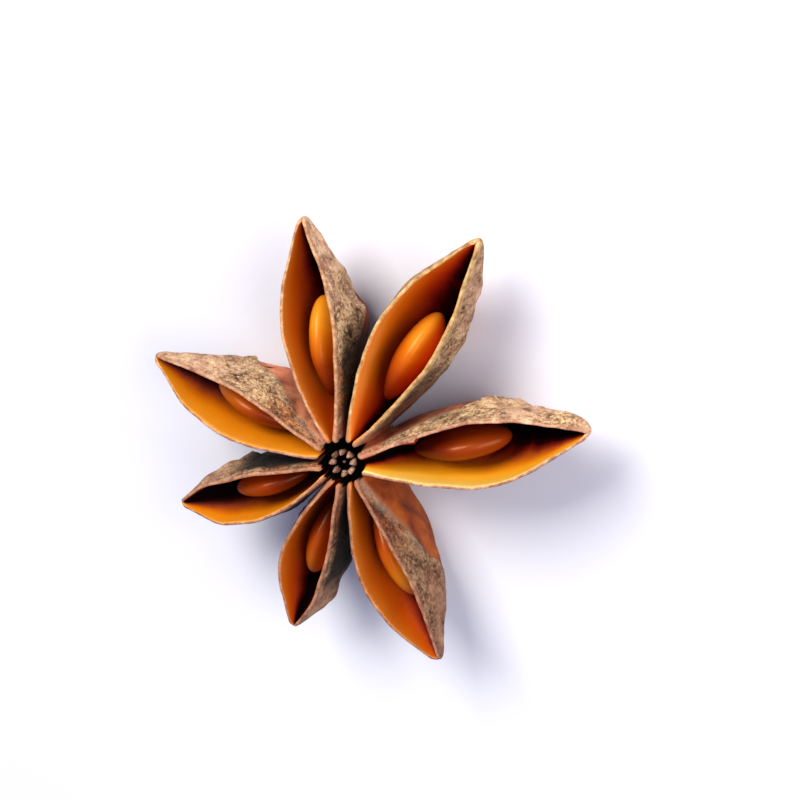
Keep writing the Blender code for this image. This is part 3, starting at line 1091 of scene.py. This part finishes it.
class Recipe:
    """A material's node tree, with one call for each kind of node."""

    def __init__(self, name: str) -> None:
        """Starts a material with a Principled shader."""
        self.material = bpy.data.materials.new(name)
        self.material.use_nodes = True
        self.tree = self.material.node_tree
        self.shader = self.tree.nodes["Principled BSDF"]

    def add(self, kind: str, **settings: object) -> bpy.types.Node:
        """A new node with some of its own settings."""
        node = self.tree.nodes.new(kind)
        for name, value in settings.items():
            setattr(node, name, value)
        return node

    def feed(self, socket: Socket, value: object) -> None:
        """Links an output to a socket, or sets the socket to a constant."""
        if isinstance(value, Socket):
            self.tree.links.new(value, socket)
        elif isinstance(value, str):
            socket.default_value = tone(value)
        else:
            socket.default_value = value

    def node(self, kind: str, output: str, **sockets: object) -> Socket:
        """A new node's output.

        Args:
            kind: the node's type.
            output: the name of the output.
            sockets: what feeds its inputs, by their names with _ for a space.

        Returns:
            The output.
        """
        node = self.add(kind)
        for name, value in sockets.items():
            self.feed(node.inputs[name.replace("_", " ")], value)
        return node.outputs[output]

    def note(self, name: str) -> Socket:
        """A number kept on the piece's points."""
        return self.add("ShaderNodeAttribute", attribute_name=name).outputs["Fac"]

    def place(self, around: tuple[float, float] = (0, 0), flat: bool = False) -> Socket:
        """The place on the piece in mm.

        Args:
            around: the x and y, in metres, that it is measured from.
            flat: whether its height is left out.

        Returns:
            The place.
        """
        return self.node("ShaderNodeMapping", "Vector",
                         Vector=self.node("ShaderNodeTexCoord", "Object"),
                         Location=(-around[0] / MM, -around[1] / MM, 0),
                         Scale=(1 / MM, 1 / MM, 0 if flat else 1 / MM))

    def noise(self, where: Socket, pitch: float, detail: float = 3, rough: float = 0.5,
              warp: float = 0) -> Socket:
        """Cloudy noise of 0 to 1, whose humps are pitch mm apart."""
        return self.node("ShaderNodeTexNoise", "Fac", Vector=where, Scale=1 / pitch,
                         Detail=detail, Roughness=rough, Distortion=warp)

    def wrinkles(self, where: Socket, pitch: float) -> Socket:
        """How near a point is to one of many crossing wrinkles, of 0 to 1."""
        cloud = self.noise(where, pitch, rough=0.6, warp=0.8)
        return self.rise(self.calc("ABSOLUTE", self.calc("SUBTRACT", cloud, 0.5)), 0.07, 0.0)

    def from_middle(self) -> Socket:
        """How far a point is from the upright line through the well's middle, in mm."""
        middle = (MIDDLE.x + MIDDLE.dark_shift[0], MIDDLE.y + MIDDLE.dark_shift[1])
        length = self.add("ShaderNodeVectorMath", operation="LENGTH")
        self.feed(length.inputs[0], self.place(middle, flat=True))
        return length.outputs["Value"]

    def height(self) -> Socket:
        """How high a point is above the floor, in mm."""
        where = self.node("ShaderNodeTexCoord", "Object")
        return self.calc("MULTIPLY", self.node("ShaderNodeSeparateXYZ", "Z", Vector=where), 1 / MM)

    def calc(self, way: str, *values: object) -> Socket:
        """One step of arithmetic."""
        node = self.add("ShaderNodeMath", operation=way)
        for socket, value in zip(node.inputs, values):
            self.feed(socket, value)
        return node.outputs["Value"]

    def rise(self, value: object, low: float, high: float) -> Socket:
        """0 where the value is low, 1 where it is high, and smooth between them."""
        node = self.add("ShaderNodeMapRange", interpolation_type="SMOOTHSTEP")
        self.feed(node.inputs["Value"], value)
        self.feed(node.inputs["From Min"], low)
        self.feed(node.inputs["From Max"], high)
        return node.outputs["Result"]

    def both(self, *values: object) -> Socket:
        """The product of several shares."""
        made = values[0]
        for value in values[1:]:
            made = self.calc("MULTIPLY", made, value)
        return made

    def mix(self, share: object, under: object, over: object, way: str = "MIX") -> Socket:
        """Two colours mixed: the second over the first, by a share."""
        node = self.add("ShaderNodeMix", data_type="RGBA", blend_type=way)
        self.feed(node.inputs[0], share)
        self.feed(node.inputs[6], under)
        self.feed(node.inputs[7], over)
        return node.outputs[2]

    def ramp(self, value: Socket, stops: dict[float, str]) -> Socket:
        """A colour read from a strip of colours.

        Args:
            value: the place on the strip.
            stops: the strip's colours by their places.

        Returns:
            The colour.
        """
        node = self.add("ShaderNodeValToRGB")
        marks = node.color_ramp.elements
        while len(marks) < len(stops):
            marks.new(1)
        for mark, (place, code) in zip(marks, sorted(stops.items())):
            mark.position = place
            mark.color = tone(code)
        self.feed(node.inputs["Fac"], value)
        return node.outputs["Color"]

    def bump(self, height: Socket, depth: float, under: Socket | None = None) -> Socket:
        """A relief too fine for the mesh, in metres, laid over another one."""
        base = {} if under is None else {"Normal": under}
        return self.node("ShaderNodeBump", "Normal", Height=height, Distance=depth, **base)

    def coat(self, **sockets: object) -> bpy.types.Material:
        """Feeds the shader's own sockets, named with _ for a space.

        Returns:
            The finished material.
        """
        for name, value in sockets.items():
            title = name.replace("_", " ").title().replace("Ior", "IOR")
            self.feed(self.shader.inputs[title], value)
        return self.material


@dataclass(frozen=True)
class HuskFinish:
    """The husk's finish: speckled rind, pressed flats, worn pale rims and a satin lining, with
    painted shade along the lining's keel and in the well, and low flanks darkened by dirt and
    painted shade.

    A pair of numbers says where a finish starts and where it is full. Those of lined_edge, the
    rim and knob_side are distances in mm from the lip's top, those of the radii from the well's
    middle, the heights from the floor, and the places are shares of the pod's length. The
    pitches of the clouds and grains are in mm, and the depths of the two reliefs in metres. The
    polishes are taken off the roughness, and dull_loss off the reflection where it is dark.
    """

    rind: tuple[str, ...] = ("#382414", "#805C3C", "#B48E64", "#D6B284", "#F0D6A8")
    rind_beak: tuple[str, ...] = ("#6C4836", "#9E7458", "#BE9674", "#D8B490", "#ECD2B0")
    rind_root: tuple[str, ...] = ("#2C1004", "#6E300E", "#A2541A", "#C87C32", "#DCA460")
    rind_neck: tuple[str, ...] = ("#642C16", "#8E4C2A", "#B06C42", "#CA8C60", "#E0B084")
    mottle_stops: tuple[float, ...] = (0.30, 0.43, 0.53, 0.63, 0.76)
    speck: str = "#241812"
    fleck: str = "#DCC8A4"
    # Near black strip for the low flanks towards the root: dirt, and painted shade between the
    # pods.
    dirt_and_shade: tuple[str, ...] = ("#050403", "#0C0906", "#171108", "#2C2012", "#4C381E")
    dusk: str = "#8A6048"
    pit: str = "#120B08"
    flat: tuple[str, ...] = ("#8E4630", "#BC6A48", "#DA8A5E", "#ECAE8A")
    flat_russet: tuple[str, ...] = ("#562000", "#7C3200", "#924000", "#AC5806")
    rim: tuple[str, ...] = ("#74483A", "#9A6A50", "#BE9070", "#DCB898")
    rim_gold: tuple[str, ...] = ("#7E5028", "#AC8450", "#CCAC76", "#E6D0A0")
    rim_neck: str = "#B07458"
    rim_edge: str = "#2E1C12"
    # The strips run from the lips down to the keel and darken to near black there, as painted
    # shade in the hollow. The yellow and amber strips are painted lighter, as painted light, and
    # the russet one darker and redder, as painted shade, for the pods they are on.
    lining: tuple[str, ...] = ("#DC902C", "#DA8610", "#CC7406", "#B25804", "#883402", "#4C0E01",
                               "#180201", "#060101")
    lining_yellow: tuple[str, ...] = ("#E6BE68", "#EAB03C", "#EA9E1A", "#E8860A", "#C45A03",
                                      "#8C2002", "#2E0201", "#060101")
    lining_russet: tuple[str, ...] = ("#BC6C24", "#BA5C0E", "#BA5205", "#B84A04", "#AC3E03",
                                      "#7E2002", "#400702", "#080101")
    lining_amber: tuple[str, ...] = ("#E08C34", "#E47C0E", "#E87008", "#E05E05", "#C84204",
                                     "#8E1E02", "#420402", "#0C0101")
    lining_stops: tuple[float, ...] = (0.0, 0.18, 0.4, 0.57, 0.71, 0.83, 0.91, 0.97)
    crown: tuple[str, ...] = ("#3C241C", "#7C5444", "#B48A70", "#DCB898")
    # Near black, painted as shade in the well and on the column.
    well: str = "#060303"
    lined_edge: tuple[float, float] = (-0.07, -0.16)
    rim_edge_band: tuple[float, float] = (1.00, 0.85)
    rim_band: tuple[float, float] = (0.80, 0.52)
    # Where the well's painted shade lies: near the well's middle below the lips, and on the knobs'
    # sides facing it.
    well_radius: tuple[float, float] = (1.98, 1.82)
    well_height: tuple[float, float] = (8.52, 8.15)
    knob_radius: tuple[float, float] = (2.15, 1.95)
    knob_side: tuple[float, float] = (0.40, 0.60)
    crown_height: tuple[float, float] = (7.25, 7.70)
    mottle_pitch: float = 1.1
    speck_pitch: float = 0.26
    patch_pitch: float = 3.0
    dirt_and_shade_pitch: float = 0.7
    broad_pitch: float = 1.9
    rim_pitch: float = 0.8
    grain_pitch: float = 0.20
    wrinkle_pitch: float = 0.9
    satin_pitch: float = 0.5
    beak_place: tuple[float, float] = (0.48, 0.78)
    root_place: tuple[float, float] = (0.50, 0.20)
    neck_place: tuple[float, float] = (0.16, 0.06)
    roughness: float = 0.88
    lining_polish: float = 0.46
    flat_polish: float = 0.2
    reflection: float = 0.26
    dull_loss: float = 0.24
    speck_share: float = 0.8
    fleck_share: float = 0.6
    grain_depth: float = 0.00006
    satin_depth: float = 0.00002

    def strip(self, paint: Recipe, value: Socket, colours: tuple[str, ...]) -> Socket:
        """Reads one of the strips of colours at a mottled value."""
        count = len(colours)
        low, high = self.mottle_stops[0], self.mottle_stops[-1]
        stops = {low + (high - low) * i / (count - 1): c for i, c in enumerate(colours)}
        return paint.ramp(value, stops)

    def build_rind(self, paint: Recipe, where: Socket, out: Socket) -> Socket:
        """The free rind's colour: speckled tan, rusty at the root, pinkish at neck and beak."""
        mottle = paint.noise(where, self.mottle_pitch, detail=6, rough=0.66, warp=0.4)
        speckle = paint.noise(where, self.speck_pitch, rough=0.6)
        patches = paint.noise(where, self.patch_pitch, detail=2)
        rind = self.strip(paint, mottle, self.rind)
        beak = paint.both(paint.rise(out, *self.beak_place), paint.rise(patches, 0.30, 0.50))
        root = paint.both(paint.rise(out, *self.root_place), paint.rise(patches, 0.74, 0.50),
                          paint.note("rust"))
        neck = paint.rise(out, *self.neck_place)
        for share, colours in ((beak, self.rind_beak), (root, self.rind_root),
                               (neck, self.rind_neck)):
            rind = paint.mix(share, rind, self.strip(paint, mottle, colours))
        calm = paint.calc("MULTIPLY_ADD", beak, -0.6, 1)
        plain = paint.calc("MULTIPLY_ADD", root, -0.7, calm)
        specks = paint.both(paint.rise(speckle, 0.55, 0.64), calm, self.speck_share)
        flecks = paint.both(paint.rise(speckle, 0.45, 0.37), plain, self.fleck_share)
        rind = paint.mix(flecks, paint.mix(specks, rind, self.speck), self.fleck)
        return paint.mix(paint.note("dusk"), rind, self.dusk, "MULTIPLY")

    def build_outside(self, paint: Recipe, where: Socket, broad: Socket) -> Socket:
        """The outside's colour: the rind, the flats, their dark low parts and the pits."""
        lip, out, press = paint.note("lip"), paint.note("out"), paint.note("press")
        outside = self.build_rind(paint, where, out)
        flat = paint.mix(paint.note("russet"), self.strip(paint, broad, self.flat),
                         self.strip(paint, broad, self.flat_russet))
        outside = paint.mix(press, outside, flat)
        ridge = paint.both(paint.note("edge"), paint.rise(broad, 0.35, 0.55), 0.2)
        outside = paint.mix(ridge, outside, self.fleck)
        # The low flanks towards the root are darkened by dirt and by painted shade between the
        # pods.
        low = paint.both(paint.rise(lip, 0.45, 1.25), paint.rise(out, 0.02, 0.10),
                         paint.note("dirt_and_shade"))
        dark = paint.noise(where, self.dirt_and_shade_pitch, detail=5, rough=0.6)
        outside = paint.mix(low, outside, self.strip(paint, dark, self.dirt_and_shade))
        return paint.mix(paint.rise(paint.note("pit"), 0.25, 0.7), outside, self.pit)

    def build_rim(self, paint: Recipe, outside: Socket, ragged: Socket, broad: Socket) -> Socket:
        """The worn pale edge over the outside's colour, with a dark line beside it."""
        lip, worn = paint.note("lip"), paint.note("worn")
        fray = paint.calc("MULTIPLY_ADD", ragged, 0.9, lip)
        fray = paint.calc("MULTIPLY_ADD", worn, -0.42, fray)
        edging = paint.both(paint.rise(fray, *self.rim_edge_band),
                            paint.rise(broad, 0.50, 0.60), 0.4)
        outside = paint.mix(edging, outside, self.rim_edge)
        rim = paint.mix(worn, self.strip(paint, ragged, self.rim),
                        self.strip(paint, ragged, self.rim_gold))
        rim = paint.mix(paint.both(paint.rise(paint.note("out"), 0.16, 0.02), 0.7), rim,
                        self.rim_neck)
        rim = paint.mix(paint.both(paint.note("dusk"), 0.6), rim, self.dusk, "MULTIPLY")
        return paint.mix(paint.rise(fray, *self.rim_band), outside, rim)

    def build_lining(self, paint: Recipe, broad: Socket) -> Socket:
        """The lining's colour: gold or russet at the lips, darkening to near black along the keel
        as painted shade, with the yellow and amber strips painted lighter as painted light and the
        russet one darker and redder as painted shade.
        """
        keel = paint.calc("MULTIPLY_ADD", broad, 0.16, paint.note("keel"))
        keel = paint.calc("SUBTRACT", keel, 0.08)
        colour = paint.ramp(keel, dict(zip(self.lining_stops, self.lining)))
        strips = (self.lining_yellow, self.lining_russet, self.lining_amber)
        for kind, strip in zip(OVER_GOLD, strips):
            over = paint.ramp(keel, dict(zip(self.lining_stops, strip)))
            colour = paint.mix(paint.note(kind.value), colour, over)
        return colour

    def build(self) -> bpy.types.Material:
        """Mixes the finish.

        Returns:
            The material.
        """
        paint = Recipe("husk finish")
        lip, press, middle = paint.note("lip"), paint.note("press"), paint.note("middle")
        where = paint.place()
        speckle = paint.noise(where, self.grain_pitch, rough=0.6)
        broad = paint.noise(where, self.broad_pitch, detail=4, warp=0.5)
        ragged = paint.noise(where, self.rim_pitch, detail=4, rough=0.7)

        outside = self.build_outside(paint, where, broad)
        outside = self.build_rim(paint, outside, ragged, broad)
        lined = paint.rise(lip, *self.lined_edge)
        colour = paint.mix(lined, outside, self.build_lining(paint, broad))

        # Painted shade: the well under the lips, the knobs' sides towards it, the lips' ends sunk
        # into it and the column are painted near black, save the crown's high parts.
        radius, height = paint.from_middle(), paint.height()
        deep = paint.both(paint.rise(radius, *self.well_radius),
                          paint.rise(height, *self.well_height))
        side = paint.both(paint.rise(radius, *self.knob_radius),
                          paint.rise(lip, *self.knob_side))
        crowned = paint.both(paint.rise(middle, 0.55, 0.70),
                             paint.rise(height, *self.crown_height))
        well_painted_shade = paint.calc("MAXIMUM", paint.rise(middle, 0.15, 0.40),
                            paint.calc("MAXIMUM", deep, side))
        colour = paint.mix(well_painted_shade, colour, self.well)
        colour = paint.mix(crowned, colour, self.strip(paint, ragged, self.crown))

        shine = paint.both(lined, paint.rise(paint.note("keel"), 0.85, 0.55))
        rough = paint.calc("MULTIPLY_ADD", shine, -self.lining_polish, self.roughness)
        rough = paint.calc("MULTIPLY_ADD", press, -self.flat_polish, rough)
        dull = paint.calc("MAXIMUM", paint.rise(paint.note("keel"), 0.75, 0.95),
                          paint.calc("SUBTRACT", well_painted_shade, crowned))
        gloss = paint.calc("MULTIPLY_ADD", dull, -self.dull_loss, self.reflection)
        coarse = paint.calc("SUBTRACT", 1, paint.calc("MAXIMUM", lined, press))
        coarse = paint.both(coarse, paint.rise(lip, 0.1, 0.5))
        grain = paint.calc("SUBTRACT", paint.both(speckle, -0.8),
                           paint.both(paint.wrinkles(where, self.wrinkle_pitch), 0.8))
        normal = paint.bump(paint.both(grain, coarse), self.grain_depth)
        soft = paint.noise(where, self.satin_pitch)
        soft = paint.both(soft, paint.calc("SUBTRACT", 1, coarse))
        normal = paint.bump(soft, self.satin_depth, normal)
        return paint.coat(base_color=colour, roughness=rough, specular_ior_level=gloss,
                          normal=normal)


@dataclass(frozen=True)
class SeedFinish:
    """The seeds' finish: a polished caramel coat, darker below and paler at its outer end, with a
    bright strip painted as light on lit seeds and a dark one painted as shade on the others.
    """

    # bright is the coat painted as lit, body the coat painted as in shade.
    bright: tuple[str, ...] = ("#5C1A04", "#903405", "#AA4E05", "#C06A0C", "#CE8018")
    body: tuple[str, ...] = ("#400C03", "#661A04", "#7C2804", "#7E2C06", "#7C2A06")
    stops: tuple[float, ...] = (0.0, 0.28, 0.52, 0.72, 0.92)
    dark: str = "#3C1004"
    end: str = "#B07450"
    sheen: str = "#FFC07A"
    roughness: float = 0.38
    reflection: float = 0.34
    coating: float = 0.08
    coating_roughness: float = 0.12
    grain_pitch: float = 0.35
    grain_depth: float = 0.000006

    def build(self) -> bpy.types.Material:
        """Mixes the finish.

        Returns:
            The material.
        """
        paint = Recipe("seed finish")
        where = paint.place()
        out, over = paint.note("out"), paint.note("over")
        cloud = paint.noise(where, 1.8, warp=0.5)
        along = paint.calc("MULTIPLY_ADD", cloud, 0.3, paint.rise(out, -1, 1))
        along = paint.calc("SUBTRACT", along, 0.15)
        body, bright = (paint.ramp(along, dict(zip(self.stops, strip)))
                        for strip in (self.body, self.bright))
        # Painted light: each seed's share of it mixes the shaded strip towards the lit one.
        colour = paint.mix(paint.note("painted_seed_light"), body, bright)
        colour = paint.mix(paint.both(paint.rise(over, 0.2, -0.8), 0.6), colour, self.dark)
        # The outer end is painted paler on the seeds marked for it.
        pale = paint.both(paint.rise(out, 0.5, 0.95), paint.note("pale_outer_end"), 0.65)
        colour = paint.mix(pale, colour, self.end)
        grain = paint.noise(where, self.grain_pitch, detail=2)
        return paint.coat(base_color=colour, roughness=self.roughness,
                          specular_ior_level=self.reflection, specular_tint=self.sheen,
                          coat_weight=self.coating, coat_roughness=self.coating_roughness,
                          normal=paint.bump(grain, self.grain_depth))


@dataclass(frozen=True)
class FloorFinish:
    """A plain white paper sweep."""

    paper: str = "#CACACF"
    roughness: float = 0.9

    def build(self) -> bpy.types.Material:
        """Mixes the finish.

        Returns:
            The material.
        """
        return Recipe("floor finish").coat(base_color=self.paper, roughness=self.roughness)


@dataclass(frozen=True)
class Lamp:
    """A soft lamp: the bearing and the height in degrees that it shines from, and its make."""

    name: str
    bearing: float
    height: float
    size: float
    power: float
    colour: tuple[float, float, float]
    reach: float = 0.45


@dataclass
class Studio:
    """The floor, the camera and the lights.

    The camera stands where it sees the fruit as in the photograph: tilt degrees off the
    vertical, turned so that it leans towards the bearing toward, and distance away from the
    top of the well, which is at the pixel centre of the 800 pixel frame.
    """

    tilt: float = 30
    toward: float = 40
    distance: float = 0.150
    pixels_per_metre: float = 12500
    centre: tuple[float, float] = (342, 463)
    frame_size: float = 800
    sensor: float = 36
    floor_size: float = 3
    lamps: tuple[Lamp, ...] = (Lamp("key", 112, 46, 0.24, 3.3, (1.0, 0.97, 0.90)),
                               Lamp("fill", 5, 36, 0.36, 2.2, (1.0, 0.98, 0.96)))
    room_colour: tuple[float, float, float, float] = (0.56, 0.60, 1.0, 1)
    room_light: float = 0.50

    def axes(self) -> tuple[Vector, Vector, Vector]:
        """The picture's way right, its way up, and the way back to the camera."""
        turn = math.radians(self.toward)
        hinge = Vector((-math.sin(turn), math.cos(turn), 0))
        lean = Matrix.Rotation(math.radians(self.tilt), 3, hinge)
        return lean @ Vector((1, 0, 0)), lean @ Vector((0, 1, 0)), lean @ Vector((0, 0, 1))

    def build_floor(self, material: bpy.types.Material) -> None:
        """Lays the floor."""
        Workbench.clear_selection()
        bpy.ops.mesh.primitive_plane_add(size=self.floor_size, location=(0, 0, 0))
        floor = bpy.context.object
        floor.name = "floor"
        floor.data.materials.append(material)

    def build_camera(self) -> None:
        """Stands the camera at its place and aims it at the middle of the picture."""
        right, up, back = self.axes()
        well = Vector((MIDDLE.x, MIDDLE.y, MIDDLE.lip_height))
        place = well + back * self.distance
        across = (self.frame_size / 2 - self.centre[0]) / self.pixels_per_metre
        higher = (self.centre[1] - self.frame_size / 2) / self.pixels_per_metre
        aim = well + right * across + up * higher
        behind = (place - aim).normalized()
        beside = up.cross(behind).normalized()
        over = behind.cross(beside)
        bpy.ops.object.camera_add(location=place)
        camera = bpy.context.object
        spin = Matrix((beside, over, behind)).transposed()
        camera.matrix_world = Matrix.Translation(place) @ spin.to_4x4()
        camera.data.sensor_width = self.sensor
        camera.data.lens = (
            self.pixels_per_metre * self.distance * self.sensor / self.frame_size)
        camera.data.clip_start = 0.01
        bpy.context.scene.camera = camera

    @staticmethod
    def hang(lamp: Lamp) -> None:
        """Hangs a lamp and aims it at the fruit."""
        turn, rise = math.radians(lamp.bearing), math.radians(lamp.height)
        way = Vector((math.cos(turn) * math.cos(rise), math.sin(turn) * math.cos(rise),
                      math.sin(rise)))
        target = Vector((MIDDLE.x, MIDDLE.y, MIDDLE.lip_height / 2))
        bpy.ops.object.light_add(type="AREA", location=target + way * lamp.reach)
        light = bpy.context.object
        light.name = lamp.name
        light.data.size = lamp.size
        light.data.energy = lamp.power
        light.data.color = lamp.colour
        light.rotation_euler = way.to_track_quat("Z", "Y").to_euler()

    def build_light(self) -> None:
        """Lights the fruit from the top of the picture, with a pale room round it."""
        for lamp in self.lamps:
            self.hang(lamp)
        world = bpy.data.worlds.new("room")
        world.use_nodes = True
        room = world.node_tree.nodes["Background"]
        room.inputs["Color"].default_value = self.room_colour
        room.inputs["Strength"].default_value = self.room_light
        bpy.context.scene.world = world
        bpy.context.scene.view_settings.view_transform = "Standard"


def main() -> None:
    """Builds the fruit and its studio, and reports each piece."""
    logging.basicConfig(level=logging.INFO, format="%(message)s")
    log = logging.getLogger("star anise")
    walls = tuple(PodWall(pod) for pod in PODS)
    husk = Husk(walls)
    husk.build()
    husk.dress(HuskFinish().build())
    log.info("husk: %d faces", len(husk.piece.data.polygons))
    coat = SeedFinish().build()
    for wall in walls:
        seed = Seed(wall)
        seed.build()
        seed.dress(coat)
        log.info("%s: %d faces", seed.piece.name, len(seed.piece.data.polygons))
    studio = Studio()
    studio.build_floor(FloorFinish().build())
    studio.build_camera()
    studio.build_light()


if __name__ == "__main__":
    main()
